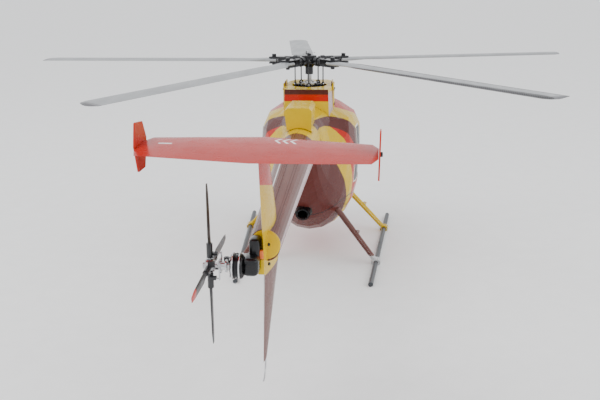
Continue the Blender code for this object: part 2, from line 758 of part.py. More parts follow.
def build_hub():
    """Five spindles round a turned boss that is capped above and open to the mast below."""
    half = HUB_HEIGHT / 2
    boss = turned([
        (MAST_RADIUS + GAP, -half - 0.016), (0.0068, -half - 0.016), (0.0068, -half - 0.004),
        (HUB_RADIUS * 0.75, -half), (HUB_RADIUS, -half + 0.002), (HUB_RADIUS, half - 0.001),
        (CAP_RADIUS, half), (CAP_RADIUS, half + CAP_HEIGHT * 0.6), (0.0045, half + CAP_HEIGHT),
        (0.0015, half + CAP_HEIGHT + 0.003), (0, half + CAP_HEIGHT + 0.003),
        (0, half - 0.0015), (MAST_RADIUS + GAP, half - 0.0015),
    ], 20)
    spindles = []
    for k in range(BLADE_COUNT):
        angle = 2 * pi * k / BLADE_COUNT
        direction = Vector((cos(angle), sin(angle), 0))
        spindles.append(rod(direction * HUB_RADIUS * 0.8, direction * SPINDLE_END, SPINDLE_RADIUS, 8))
    place("rotor_hub", joined(boss, *spindles), "black_metal", (0, 0, ROTOR_HEIGHT), blade_angle(0))


def blade_angle(k):
    return -pi / 2 + ROTOR_REST_ANGLE + 2 * pi * k / BLADE_COUNT


def grip_mesh():
    """Blade grip about its pitch axis: sleeve, fork, bolt, and the arm with its ball."""
    neck_end = 0.0430
    sleeve = rod((GRIP_START, 0, 0), (neck_end, 0, 0), GRIP_RADIUS, 12)
    collar = rod((GRIP_START + 0.004, 0, 0), (GRIP_START + 0.010, 0, 0), GRIP_RADIUS + 0.0012, 12)
    fork_half = BLADE_ROOT_THICKNESS / 2 + GAP + FORK_LUG
    fork = box((neck_end - 0.003, -FORK_WIDTH / 2, -fork_half), (BOLT_DISTANCE + 0.0065, FORK_WIDTH / 2, fork_half))
    slot = box(
        (BOLT_DISTANCE - 0.0100, -0.05, -BLADE_ROOT_THICKNESS / 2 - GAP),
        (BOLT_DISTANCE + 0.02, 0.05, BLADE_ROOT_THICKNESS / 2 + GAP),
    )
    bore = rod((GRIP_START - 0.01, 0, 0), (SPINDLE_END + 0.0006, 0, 0), SPINDLE_RADIUS + RUNNING_GAP, 8)
    bolt = rod((BOLT_DISTANCE, 0, -fork_half - 0.0035), (BOLT_DISTANCE, 0, fork_half + 0.0030), BOLT_RADIUS, 8)
    head = rod((BOLT_DISTANCE, 0, fork_half - 0.0005), (BOLT_DISTANCE, 0, fork_half + 0.0042), 0.0038, 8)
    nut = rod((BOLT_DISTANCE, 0, -fork_half - 0.0030), (BOLT_DISTANCE, 0, -fork_half + 0.0005), 0.0036, 6)
    arm_end = ARM_REACH - 0.0058
    arm = box((ARM_DISTANCE - 0.0012, -arm_end, -0.0018), (ARM_DISTANCE + 0.0030, -0.004, 0.0018))
    neck = rod((ARM_DISTANCE, -arm_end + 0.001, 0), (ARM_DISTANCE, -ARM_REACH, 0), 0.0010, 6)
    joint_ball = ball((ARM_DISTANCE, -ARM_REACH, 0), BALL_RADIUS)
    body = cut(joined(sleeve, collar, fork), slot, bore)
    return joined(body, bolt, head, nut, arm, neck, joint_ball)


def blade_ring(distance, lead, chord, thickness, height):
    return [(distance, lead + back, height + out) for back, out in foil(chord, thickness)]


def root_ring(distance):
    """Flat, round-edged section of the blade root, point for point like the aerofoil's."""
    ring = []
    for back, _ in foil(BLADE_ROOT_WIDTH, 1.0):
        share = 2 * back / BLADE_ROOT_WIDTH - 1
        half = BLADE_ROOT_THICKNESS / 2 * max(1 - share**6, 0.12) ** 0.5
        ring.append([distance, back - BLADE_ROOT_WIDTH / 2, half])
    count = len(ring)
    for i in range(count // 2 + 1, count):
        ring[i][2] = -ring[i][2]
    ring[0][2] = 0
    return ring


def blade_mesh():
    """Blade about its bolt: flat root, then the aerofoil with a rounded leading tip corner."""
    tip = ROTOR_RADIUS - BOLT_DISTANCE
    lead = -BLADE_CHORD * 0.30

    def station(distance, cut_back=0.0, thin=1.0):
        height = -tan(BLADE_DROOP) * max(distance - 0.03, 0.0)
        chord = BLADE_CHORD - cut_back
        return blade_ring(distance, lead + cut_back, chord, BLADE_THICKNESS * thin, height)
    rings = [root_ring(-0.0060), root_ring(0.012), station(0.040, 0.004), station(0.065)]
    steps = 2
    for i in range(steps + 1):
        angle = pi / 2 * i / steps
        distance = tip - BLADE_SWEEP_LENGTH * (1 - sin(angle))
        rings.append(station(distance, 0.011 * (1 - cos(angle)), 1 - 0.25 * i / steps))
    hole = rod((0, 0, -0.02), (0, 0, 0.02), BOLT_RADIUS + 0.0001, 12)
    return cut(loft(rings), hole)


def build_blades():
    grip, blade = grip_mesh(), blade_mesh()
    for k in range(BLADE_COUNT):
        angle = blade_angle(k)
        place(f"blade_grip_{k + 1}", grip, "black_plastic", (0, 0, ROTOR_HEIGHT), angle)
        bolt = (BOLT_DISTANCE * cos(angle), BOLT_DISTANCE * sin(angle), ROTOR_HEIGHT)
        place(f"main_blade_{k + 1}", blade, "blade_grey", bolt, angle)


# ---------------------------------------------------------------- swashplate and links
LINK_EYE_BORE = BALL_RADIUS + 0.0004
LINK_EYE_RADIUS = LINK_EYE_BORE + 0.0014


def eye(centre, direction):
    """Ring of a ball link, with its bore along the direction."""
    middle, half = Vector(centre), Vector(direction).normalized() * 0.0012
    ring = rod(middle - half, middle + half, LINK_EYE_RADIUS, 10)
    return ring, rod(middle - half * 2, middle + half * 2, LINK_EYE_BORE, 8)


def link_mesh():
    """Pitch link about the mast axis, in the frame of its blade."""
    upper = (ARM_DISTANCE, -ARM_REACH, ROTOR_HEIGHT)
    lower = (ARM_DISTANCE, -ARM_REACH, SWASH_HEIGHT)
    upper_eye, upper_bore = eye(upper, (0, 1, 0))
    lower_eye, lower_bore = eye(lower, (ARM_DISTANCE, -ARM_REACH, 0))
    bar = rod((*lower[:2], lower[2] + LINK_EYE_BORE), (*upper[:2], upper[2] - LINK_EYE_BORE), LINK_RADIUS, 6)
    return cut(joined(upper_eye, lower_eye, bar), upper_bore, lower_bore)


def build_swashplate():
    bore = MAST_RADIUS + 0.0010
    low, high = SWASH_HEIGHT - 0.0018, SWASH_HEIGHT - 0.0018 + SWASH_RING_HEIGHT
    ring = turned([
        (bore, low), (SWASH_RING_RADIUS, low), (SWASH_RING_RADIUS, high - 0.001),
        (0.0085, high), (0.0085, high + 0.002), (bore, high + 0.002),
    ], 20)
    studs = []
    reach = hypot(ARM_DISTANCE, ARM_REACH)
    for k in range(BLADE_COUNT):
        angle = 2 * pi * k / BLADE_COUNT - atan2(ARM_REACH, ARM_DISTANCE)
        direction = Vector((cos(angle), sin(angle), 0))
        centre = direction * reach + Vector((0, 0, SWASH_HEIGHT))
        studs.append(rod(direction * SWASH_RING_RADIUS * 0.9 + Vector((0, 0, SWASH_HEIGHT)), centre, 0.0011, 6))
        studs.append(ball(centre, BALL_RADIUS))
    place("swashplate_turning", joined(ring, *studs), "black_metal", (0, 0, 0), blade_angle(0))

    top = low - RUNNING_GAP
    bottom = top - SWASH_FIXED_HEIGHT
    middle = (top + bottom) / 2
    pieces = [turned([
        (bore, bottom - 0.002), (0.0095, bottom - 0.002), (0.0095, bottom),
        (SWASH_FIXED_RADIUS, bottom), (SWASH_FIXED_RADIUS, top), (bore, top),
    ], 20)]
    for k in range(SERVO_COUNT):
        angle = pi / 2 + 2 * pi * k / SERVO_COUNT
        direction = Vector((cos(angle), sin(angle), 0))
        knee = direction * SERVO_BALL_DISTANCE + Vector((0, 0, middle))
        foot = direction * SERVO_BALL_DISTANCE + Vector((0, 0, SERVO_LINK_FOOT))
        pieces.append(rod(direction * SWASH_FIXED_RADIUS * 0.9 + Vector((0, 0, middle)), knee, 0.0011, 6))
        pieces.append(ball(knee, BALL_RADIUS))
        pieces.append(rod(foot, knee, LINK_RADIUS, 6))
        pieces.append(ball(foot, BALL_RADIUS))
    place("swashplate_fixed", joined(*pieces), "black_metal")

    link = link_mesh()
    for k in range(BLADE_COUNT):
        place(f"pitch_link_{k + 1}", link, "black_plastic", (0, 0, 0), blade_angle(k))


# ---------------------------------------------------------------- frame and drive inside the pod
SERVO_LINK_FOOT = 0.2580
SERVO_DECK = 0.2260
MOTOR_DECK = GEAR_HEIGHT + GEAR_WIDTH + 0.0040
TRAY_HEIGHT = 0.0860
MOTOR_Y = -(GEAR_RADIUS + PINION_RADIUS + GAP)
BATTERY_LENGTH = 0.1050
RECEIVER_PAD_Y = -0.0400
RECEIVER_PAD_HEIGHT = 0.0015


def build_frame():
    """Two side plates with lightening holes, three decks and the battery tray."""
    side = box((FRAME_HALF_WIDTH - PLATE, -0.075, TRAY_HEIGHT), (FRAME_HALF_WIDTH, 0.042, 0.236))
    windows = [
        rod((0, y, z), (0.1, y, z), radius, 10)
        for y, z, radius in ((-0.045, 0.118, 0.016), (0.008, 0.118, 0.016), (0.012, 0.200, 0.013))
    ]
    side = cut(side, *windows)
    inner = FRAME_HALF_WIDTH - PLATE / 2
    decks = [box((-inner, -0.066, z), (inner, 0.038, z + PLATE)) for z in (MOTOR_DECK, SERVO_DECK)]
    foot_block = box((-inner, -0.020, MAST_FOOT - 0.012), (inner, 0.020, MAST_FOOT - GAP))
    tray = box((-inner, -0.170, TRAY_HEIGHT), (inner, 0.042, TRAY_HEIGHT + PLATE))
    pad_half, pad_top = 0.0150, TRAY_HEIGHT + PLATE + RECEIVER_PAD_HEIGHT
    pad = box((-pad_half, RECEIVER_PAD_Y - pad_half, TRAY_HEIGHT + PLATE / 2), (pad_half, RECEIVER_PAD_Y + pad_half, pad_top))
    mast_hole = rod((0, 0, MAST_FOOT - 0.0002), (0, 0, 0.3), MAST_RADIUS + 0.0005, 20)
    pinion_hole = rod((0, MOTOR_Y, MOTOR_DECK - 0.01), (0, MOTOR_Y, MOTOR_DECK + 0.01), PINION_RADIUS + 0.001, 16)
    frame = cut(joined(side, mirrored(side), *decks, foot_block, tray, pad), mast_hole, pinion_hole)
    place("main_frame", frame, "black_plastic")


def build_drive():
    low = GEAR_HEIGHT
    gear = turned([
        (MAST_RADIUS + GAP, low - 0.004), (0.0085, low - 0.004), (0.0085, low + 0.0015), (0.0240, low + 0.0015),
        (0.0240, low), (GEAR_RADIUS, low), (GEAR_RADIUS, low + GEAR_WIDTH), (0.0240, low + GEAR_WIDTH),
        (0.0240, low + 0.0045), (MAST_RADIUS + GAP, low + 0.0045),
    ], 24)
    holes = []
    for k in range(6):
        angle = 2 * pi * (k + 0.13) / 6
        x, y = 0.0160 * cos(angle), 0.0160 * sin(angle)
        holes.append(rod((x, y, low - 0.01), (x, y, low + 0.01), 0.0050, 8))
    place("main_gear", cut(gear, *holes), "white_plastic")

    can_low = MOTOR_DECK + PLATE + GAP
    can = turned([
        (0, can_low), (MOTOR_RADIUS - 0.001, can_low), (MOTOR_RADIUS, can_low + 0.001),
        (MOTOR_RADIUS, can_low + MOTOR_LENGTH - 0.003), (MOTOR_RADIUS * 0.8, can_low + MOTOR_LENGTH),
        (0, can_low + MOTOR_LENGTH),
    ], 18, centre=(0, MOTOR_Y, 0))
    socket = rod((0, MOTOR_Y, can_low - 0.01), (0, MOTOR_Y, can_low + 0.006), 0.0029, 12)
    place("motor", cut(can, socket), "motor_can")
    pinion = rod((0, 0, GEAR_HEIGHT), (0, 0, MOTOR_DECK), PINION_RADIUS, 18)
    shaft = rod((0, 0, MOTOR_DECK - 0.002), (0, 0, can_low + 0.005), 0.0025, 12)
    place("pinion", joined(pinion, shaft), "steel", (0, MOTOR_Y, 0))


def build_electrics():
    tray_top = TRAY_HEIGHT + PLATE + GAP
    battery = box((-0.020, -0.168, tray_top), (0.020, -0.168 + BATTERY_LENGTH, tray_top + 0.034))
    place("battery", battery, "battery_wrap")
    for k, (x, y) in enumerate(((0.0, 0.030), (-0.0265, -0.012), (0.0265, -0.012))):
        deck = SERVO_DECK + PLATE + GAP
        body = box((x - 0.0060, y - 0.0055, deck), (x + 0.0060, y + 0.0055, deck + 0.020))
        post = rod((x, y, deck + 0.018), (x, y, deck + 0.024), 0.0030, 10)
        place(f"servo_{k + 1}", joined(body, post), "black_plastic")


# ---------------------------------------------------------------- tail rotor
TAIL_CENTRE = (TAIL_ROTOR_X, TAIL_AXIS_Y, TAIL_AXIS_HEIGHT)
HOUSING_RADIUS = 0.0140
HOUSING_INNER_X = 0.0205
HOUSING_OUTER_X = 0.0335
SLIDER_X = 0.0415
LEVER_PIVOT_Y = TAIL_AXIS_Y - 0.0200
LEVER_HEIGHT = TAIL_AXIS_HEIGHT
TAIL_HORN_REACH = 0.00725         # blade axis to the middle of its horn


def build_tail_gearbox():
    """Cast block in the boom's bay with a round bearing housing and the lever's bracket."""
    y, z = TAIL_AXIS_Y, TAIL_AXIS_HEIGHT
    block = box((0.0008 + GAP, TAIL_BAY_Y + GAP + 0.001, z - 0.010), (HOUSING_INNER_X + 0.001, y + 0.010, z + 0.012))
    saddle = box((0.0030, TAIL_BAY_Y + GAP + 0.001, z + 0.006), (0.0150, y - 0.006, boom_height(y) + 0.0135))
    housing = turned([
        (0, HOUSING_INNER_X), (0.0115, HOUSING_INNER_X), (HOUSING_RADIUS, HOUSING_INNER_X + 0.003),
        (HOUSING_RADIUS, HOUSING_OUTER_X - 0.003), (0.0105, HOUSING_OUTER_X),
        (0, HOUSING_OUTER_X),
    ], 20, "X", (0, y, z))
    bracket = box((0.0220, LEVER_PIVOT_Y - 0.003, z - 0.0065), (HOUSING_OUTER_X - 0.003, y - 0.008, z - 0.0035))
    ear = box((0.0220, LEVER_PIVOT_Y - 0.003, z - 0.0065), (SLIDER_X + 0.0030, LEVER_PIVOT_Y + 0.003, z - 0.0035))
    pivot = rod((SLIDER_X, LEVER_PIVOT_Y, z - 0.005), (SLIDER_X, LEVER_PIVOT_Y, z + 0.0035), 0.0012, 10)
    bore = rod((HOUSING_OUTER_X - 0.006, y, z), (HOUSING_OUTER_X + 0.01, y, z), TAIL_SHAFT_RADIUS + RUNNING_GAP, 16)
    body = joined(block, saddle, housing, bracket, ear, pivot)
    place("tail_gearbox", cut(body, bore), "black_metal")


def tail_shape(mesh):
    """Bring a mesh drawn with its axis along Z to the tail rotor's axis, which is along X."""
    return moved(mesh, Matrix.Rotation(pi / 2, 4, "Y"))


def build_tail_hub():
    """Shaft and hub; the shapes are drawn about the hub's centre with the axis along X."""
    shaft = rod((HOUSING_OUTER_X - 0.0055 - TAIL_ROTOR_X, 0, 0), (0.0055, 0, 0), TAIL_SHAFT_RADIUS, 16)
    hub = turned([
        (0, -0.0050), (0.0062, -0.0050), (0.0075, -0.0038), (0.0075, 0.0038), (0.0062, 0.0050),
        (0.0035, 0.0052), (0.0035, 0.0075), (0, 0.0075),
    ], 16, "X")
    stubs = []
    for k in range(TAIL_BLADE_COUNT):
        angle = 2 * pi * k / TAIL_BLADE_COUNT
        stubs.append(rod((0, 0, 0), (0, sin(angle) * 0.0185, cos(angle) * 0.0185), 0.0016, 8))
    place("tail_hub", joined(hub, shaft, *stubs), "steel", TAIL_CENTRE)


def tail_blade_mesh():
    """Blade with its holder, drawn about the hub's centre and pointing up, axis along Z."""
    holder = rod((0, 0, 0.0090), (0, 0, 0.0250), 0.0034, 10)
    bore = rod((0, 0, 0.0), (0, 0, 0.0190), 0.0021, 8)
    horn = box((-0.0075, -0.0085, 0.0105), (-0.0045, -0.0060, 0.0135))
    horn_arm = box((-0.0075, -0.0085, 0.0105), (0.0, -0.0025, 0.0130))

    def ring(distance, chord, thickness, shift):
        return [(out, back - chord * 0.35 + shift, distance) for back, out in foil(chord, thickness)]
    root = [(x * 1.0, y, 0.0215) for x, y, _ in ring(0, 0.0055, 0.0040, 0)]
    blade = loft([
        root,
        ring(0.034, TAIL_BLADE_CHORD, 0.0026, 0),
        ring(TAIL_ROTOR_RADIUS - 0.012, TAIL_BLADE_CHORD * 0.82, 0.0018, 0.0010),
        ring(TAIL_ROTOR_RADIUS, TAIL_BLADE_CHORD * 0.50, 0.0010, 0.0022),
    ])
    return joined(cut(joined(holder, horn_arm, horn), bore), blade)


def build_tail_blades():
    blade = tail_blade_mesh()
    for k in range(TAIL_BLADE_COUNT):
        turned_blade = moved(blade, Matrix.Rotation(2 * pi * k / TAIL_BLADE_COUNT, 4, "X"))
        place(f"tail_blade_{k + 1}", turned_blade, "black_plastic", TAIL_CENTRE)


def build_tail_slider():
    """Grooved sleeve that slides on the tail shaft, with an arm and link for each blade."""
    offset = SLIDER_X - TAIL_ROTOR_X
    sleeve = turned([
        (TAIL_SHAFT_RADIUS + RUNNING_GAP, offset - 0.0040), (0.0070, offset - 0.0040),
        (0.0070, offset - 0.0024), (0.0044, offset - 0.0024), (0.0044, offset + 0.0024),
        (0.0070, offset + 0.0024), (0.0070, offset + 0.0042),
        (TAIL_SHAFT_RADIUS + RUNNING_GAP, offset + 0.0042),
    ], 16, "X")
    arms = []
    for k in range(TAIL_BLADE_COUNT):
        turn = Matrix.Rotation(2 * pi * k / TAIL_BLADE_COUNT, 4, "X")
        arm = box((offset + 0.0027, -0.0085, 0.0), (offset + 0.0039, -0.0058, 0.0134))
        tip = (-0.0075 - 0.0006, -TAIL_HORN_REACH, 0.0120)
        link = rod((offset + 0.0033, -TAIL_HORN_REACH, 0.0120), tip, 0.0008, 6)
        arms += [moved(arm, turn), moved(link, turn)]
    place("tail_slider", joined(sleeve, *arms), "aluminium", TAIL_CENTRE)


def build_tail_lever():
    """Bell crank: a fork end in the slider's groove and a ball for the push rod."""
    z = 0.0
    hub = rod((0, 0, z - 0.0028), (0, 0, z + 0.0028), 0.0034, 14)
    long_arm = box((-0.0010, 0.0, z - 0.0012), (0.0010, 0.0142, z + 0.0012))
    short_arm = box((-0.0125, -0.0012, z + 0.0004), (0.0, 0.0012, z + 0.0028))
    stud = rod((-0.0120, 0, z + 0.0010), (-0.0120, 0, z + 0.0055), 0.0009, 8)
    end = ball((-0.0120, 0, z + 0.0062), 0.0021)
    bore = rod((0, 0, z - 0.01), (0, 0, z + 0.01), 0.0012 + 0.0002, 10)
    lever = cut(joined(hub, long_arm, short_arm, stud, end), bore)
    place("tail_lever", lever, "aluminium", (SLIDER_X, LEVER_PIVOT_Y, LEVER_HEIGHT))


# ---------------------------------------------------------------- assembly
def centre_offset():
    """How far the middle of the model's outer box lies from the mast, on X and Y."""
    xs = [ROTOR_RADIUS * cos(blade_angle(k)) for k in range(BLADE_COUNT)]
    ys = [ROTOR_RADIUS * sin(blade_angle(k)) for k in range(BLADE_COUNT)]
    rear = max(ys + [TAIL_AXIS_Y + TAIL_ROTOR_RADIUS])
    return (min(xs) + max(xs)) / 2, (min(ys) + rear) / 2


def build_model():
    for thing in list(bpy.data.objects):
        bpy.data.objects.remove(thing)
    stand = bpy.data.objects.new("stand", None)
    middle_x, middle_y = centre_offset()
    stand.location = (-middle_x, -middle_y, 0)
    bpy.context.scene.collection.objects.link(stand)
    build_cabin()
    build_pod()
    build_exhaust()
    build_mast_fairing()
    build_rear_fairing()
    build_boom()
    build_fins()
    build_tailplane()
    build_tail_skid()
    build_skids()
    build_legs()
    build_frame()
    build_drive()
    build_electrics()
    build_mast()
    build_hub()
    build_blades()
    build_swashplate()
    build_tail_gearbox()
    build_tail_hub()
    build_tail_blades()
    build_tail_slider()
    build_tail_lever()


build_model()
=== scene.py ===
"""Looks of the radio-controlled helicopter: paint scheme, trim, light and the photograph's camera."""

import json
from math import cos, pi, sin

import bmesh
import bpy
from mathutils import Matrix, Vector

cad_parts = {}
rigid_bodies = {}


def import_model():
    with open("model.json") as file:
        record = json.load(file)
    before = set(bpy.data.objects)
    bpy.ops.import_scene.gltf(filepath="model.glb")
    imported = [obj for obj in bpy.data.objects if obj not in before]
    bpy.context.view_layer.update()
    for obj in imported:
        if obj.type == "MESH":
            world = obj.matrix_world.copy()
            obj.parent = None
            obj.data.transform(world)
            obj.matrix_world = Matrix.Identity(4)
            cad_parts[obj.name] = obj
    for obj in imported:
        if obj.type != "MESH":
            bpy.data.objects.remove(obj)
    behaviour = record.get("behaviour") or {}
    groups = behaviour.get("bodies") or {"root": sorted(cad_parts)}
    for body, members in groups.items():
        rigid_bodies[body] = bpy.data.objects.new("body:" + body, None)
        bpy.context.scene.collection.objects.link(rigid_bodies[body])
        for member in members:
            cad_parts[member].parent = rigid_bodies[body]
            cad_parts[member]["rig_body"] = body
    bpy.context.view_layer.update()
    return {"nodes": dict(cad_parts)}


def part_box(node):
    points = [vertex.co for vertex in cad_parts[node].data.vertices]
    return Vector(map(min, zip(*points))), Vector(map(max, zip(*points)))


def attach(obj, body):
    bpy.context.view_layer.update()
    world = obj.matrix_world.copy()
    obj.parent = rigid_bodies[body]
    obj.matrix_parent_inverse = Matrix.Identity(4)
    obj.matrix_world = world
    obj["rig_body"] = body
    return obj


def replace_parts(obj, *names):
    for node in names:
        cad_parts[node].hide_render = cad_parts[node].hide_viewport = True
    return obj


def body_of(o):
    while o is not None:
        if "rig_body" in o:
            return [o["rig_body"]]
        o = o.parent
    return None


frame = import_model()
nodes = frame["nodes"]

# Places below are in metres from the foot of the main rotor's axis: +Y is aft, +X is the model's left.
MAST_LOW, MAST_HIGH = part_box("mast")
MAST = Vector(((MAST_LOW.x + MAST_HIGH.x) / 2, (MAST_LOW.y + MAST_HIGH.y) / 2, 0))
TAIL_LOW, TAIL_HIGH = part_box("tail_gearbox")

TAIL_AXIS_Y = 0.602
TAIL_AXIS_HEIGHT = 0.193
TAIL_BLADE_TIP = 0.0800           # the painted tip starts here, from the tail rotor's axis
BOOM_CUT_Y = 0.5745               # the boom ends here, just ahead of the tail gearbox
EXHAUST_SHIFT = 0.004             # the pipe leaves a little left of the middle
EXHAUST_DROP = 0.349              # radians below level
TAILPLANE_HEIGHT = 0.322
TAILPLANE_SLOPE = 0.0244          # the left tip stands higher
CHEEK_X = 0.0405
CHEEK_THICKNESS = 0.0022
FOIL_STEPS = 14
PLACE_STEP = 0.0005               # points closer than this count as one
HEAD_SINK = 0.0004                # how far a screw's underside sinks into its seat

# Photograph's camera: angles in radians, lens and sensor in millimetres
CAMERA_YAW, CAMERA_PITCH, CAMERA_ROLL = -0.0976, 0.2677, -0.0092
CAMERA_PLACE = (-0.1237, 1.4451, 0.4996)
CAMERA_LENS = 50.91
CAMERA_SENSOR = 36.0
FLOOR_HALF = 30.0

# Colours, linear
RED = (0.50, 0.016, 0.006)
YELLOW = (0.66, 0.44, 0.006)
MAROON = (0.100, 0.022, 0.018)
BROWN = (0.150, 0.062, 0.052)
BAND_BROWN = (0.085, 0.022, 0.016)
ROSE_GREY = (0.50, 0.36, 0.38)
CREAM = (0.80, 0.77, 0.66)
PALE = (0.62, 0.62, 0.62)
WHITE = (0.85, 0.85, 0.84)
BLACK = (0.012, 0.012, 0.014)
ORANGE = (0.75, 0.16, 0.02)

PAINT_EDGE = 3000.0               # sharpness of a painted edge: full change over a third of a millimetre

# Paint scheme: height of each edge against distance aft
ROOF_EDGE = (
    (-0.26, 0.170), (-0.20, 0.195), (-0.15, 0.222), (-0.10, 0.2325),
    (0.0, 0.2665), (0.08, 0.300), (0.20, 0.345),
)
STRIPE_EDGE = (
    (-0.26, 0.120), (-0.20, 0.128), (-0.15, 0.138), (-0.10, 0.155), (-0.05, 0.185),
    (0.0, 0.227), (0.02, 0.2455), (0.05, 0.2597), (0.08, 0.264), (0.20, 0.264),
)
WEDGE_EDGE = (
    (-0.26, 0.098), (-0.20, 0.105), (-0.12, 0.115), (-0.07, 0.132), (-0.02, 0.165),
    (0.028, 0.213), (0.06, 0.239), (0.09, 0.251), (0.12, 0.254), (0.20, 0.2535),
)
SEAM = (
    (-0.26, 0.100), (-0.088, 0.104), (-0.03, 0.112), (0.024, 0.115),
    (0.07, 0.100), (0.11, 0.090), (0.20, 0.088),
)


# ---------------------------------------------------------------- materials
class Look:
    """A material being built, with short names for the nodes that it uses."""

    def __init__(self, name, **sockets):
        self.material = bpy.data.materials.new(name)
        self.material.use_nodes = True
        self.tree = self.material.node_tree
        self.shader = self.tree.nodes["Principled BSDF"]
        for socket, value in sockets.items():
            self.shader.inputs[socket.replace("_", " ")].default_value = value
        place = self.tree.nodes.new("ShaderNodeTexCoord").outputs["Object"]
        self.place = self.add("ShaderNodeVectorMath", [place, (-MAST.x, -MAST.y, 0)]).outputs[0]
        self.x, self.y, self.z = self.add("ShaderNodeSeparateXYZ", [self.place]).outputs

    def add(self, kind, values, **settings):
        node = self.tree.nodes.new(kind)
        for name, setting in settings.items():
            setattr(node, name, setting)
        for key, value in values.items() if isinstance(values, dict) else enumerate(values):
            if isinstance(value, bpy.types.NodeSocket):
                self.tree.links.new(value, node.inputs[key])
            else:
                node.inputs[key].default_value = value
        return node

    def math(self, operation, *values, clamp=False):
        return self.add("ShaderNodeMath", values, operation=operation, use_clamp=clamp).outputs[0]

    def above(self, a, b):
        """1 where a is over b and 0 where it is under, with a narrow soft edge."""
        return self.math("MULTIPLY_ADD", self.math("SUBTRACT", a, b), PAINT_EDGE, 0.5, clamp=True)

    def between(self, low, value, high):
        return self.math("MULTIPLY", self.above(value, low), self.above(high, value))

    def curve(self, value, points):
        """Smooth height above the ground for a distance aft."""
        (start, _), (end, _) = points[0], points[-1]
        share = self.math("DIVIDE", self.math("SUBTRACT", value, start), end - start)
        node = self.add("ShaderNodeFloatCurve", {1: share})
        spline = node.mapping.curves[0]
        spline.points[0].location = (0.0, points[0][1])
        spline.points[1].location = (1.0, points[-1][1])
        for distance, height in points[1:-1]:
            spline.points.new((distance - start) / (end - start), height)
        node.mapping.update()
        return node.outputs[0]

    def noise(self, scale, detail=3.0, stretch=(1, 1, 1)):
        spread = self.add("ShaderNodeVectorMath", [self.place, stretch], operation="MULTIPLY").outputs[0]
        return self.add("ShaderNodeTexNoise", {"Vector": spread, "Scale": scale, "Detail": detail}).outputs[0]

    def spread(self, value, low, high):
        """A noise value brought to the range low to high."""
        return self.add("ShaderNodeMapRange", [value, 0.3, 0.7, low, high]).outputs[0]

    def mix(self, share, a, b, blend="MIX"):
        a, b = ((*c, 1.0) if isinstance(c, tuple) else c for c in (a, b))
        values = {0: share, 6: a, 7: b}
        return self.add("ShaderNodeMix", values, data_type="RGBA", blend_type=blend).outputs[2]

    def painted(self, colour, *bands):
        """Lay each (where, colour) band over the colour under it."""
        for where, band in bands:
            colour = self.mix(where, colour, band)
        return colour

    def finish(self, colour, rough=(0.20, 0.32), grain=900.0, depth=0.00002, stretch=(1, 1, 1), mottle=0.88):
        """Connect the colour with faint mottling, uneven gloss and a fine surface texture."""
        tone = self.spread(self.noise(30.0, 4.0), mottle, 1.0)
        shade = self.add("ShaderNodeCombineColor", [tone, tone, tone]).outputs[0]
        colour = self.mix(1.0, colour, shade, "MULTIPLY")
        self.tree.links.new(colour, self.shader.inputs["Base Color"])
        gloss = self.spread(self.noise(70.0, 6.0, stretch), *rough)
        self.tree.links.new(gloss, self.shader.inputs["Roughness"])
        texture = {"Height": self.noise(grain, 2.0, stretch), "Strength": 0.35, "Distance": depth}
        bump = self.add("ShaderNodeBump", texture).outputs[0]
        self.tree.links.new(bump, self.shader.inputs["Normal"])
        return self.material


def gloss_paint(name):
    return Look(name, Specular_IOR_Level=0.12, Coat_Weight=0.04, Coat_Roughness=0.08)


def livery_colour(look):
    """Red roof, yellow and brown sweeping stripes, red wedge, then a yellow edge to the maroon tail."""
    roof = look.above(look.z, look.curve(look.y, ROOF_EDGE))
    stripe = look.above(look.z, look.curve(look.y, STRIPE_EDGE))
    band = look.above(look.z, look.curve(look.y, WEDGE_EDGE))
    rise = look.math("SUBTRACT", look.z, 0.1305)
    square = look.math("MULTIPLY", rise, rise)
    front = look.math("MULTIPLY_ADD", square, 2.0, look.math("MULTIPLY_ADD", rise, 0.40, 0.006))
    rise = look.math("SUBTRACT", look.z, 0.1156)
    square = look.math("MULTIPLY", rise, rise)
    back = look.math("MULTIPLY_ADD", square, 3.6, look.math("MULTIPLY_ADD", rise, 0.55, 0.0223))
    lower = look.painted(RED, (look.above(look.y, front), YELLOW), (look.above(look.y, back), MAROON))
    return look.painted(lower, (band, MAROON), (stripe, YELLOW), (roof, RED))


def livery():
    """Pod paint with the sill seam, exhaust streaks and a dark pane behind each rear door window."""
    look = gloss_paint("livery_paint")
    seam = look.curve(look.y, SEAM)
    groove = look.between(look.math("SUBTRACT", seam, 0.0009), look.z, look.math("ADD", seam, 0.0009))
    streak = look.above(look.noise(26.0, 3.0, (1, 0.2, 1.5)), 0.60)
    low = look.above(0.120, look.z)
    streak = look.math("MULTIPLY", look.math("MULTIPLY", streak, low), 0.35)
    flank = look.above(look.math("ABSOLUTE", look.x), 0.050)
    edge_along = look.between(-0.030, look.y, 0.004)
    edge_up = look.between(0.136, look.z, 0.236)
    frame_edge = look.math("MULTIPLY", edge_along, edge_up)
    pane_along = look.between(-0.030, look.y, 0.0015)
    pane_up = look.between(0.1385, look.z, 0.2335)
    pane = look.math("MULTIPLY", pane_along, pane_up)
    trim = (look.math("MULTIPLY", flank, frame_edge), CREAM), (look.math("MULTIPLY", flank, pane), BLACK)
    colour = look.painted(livery_colour(look), (streak, BAND_BROWN), (groove, BLACK), *trim)
    return look.finish(colour)


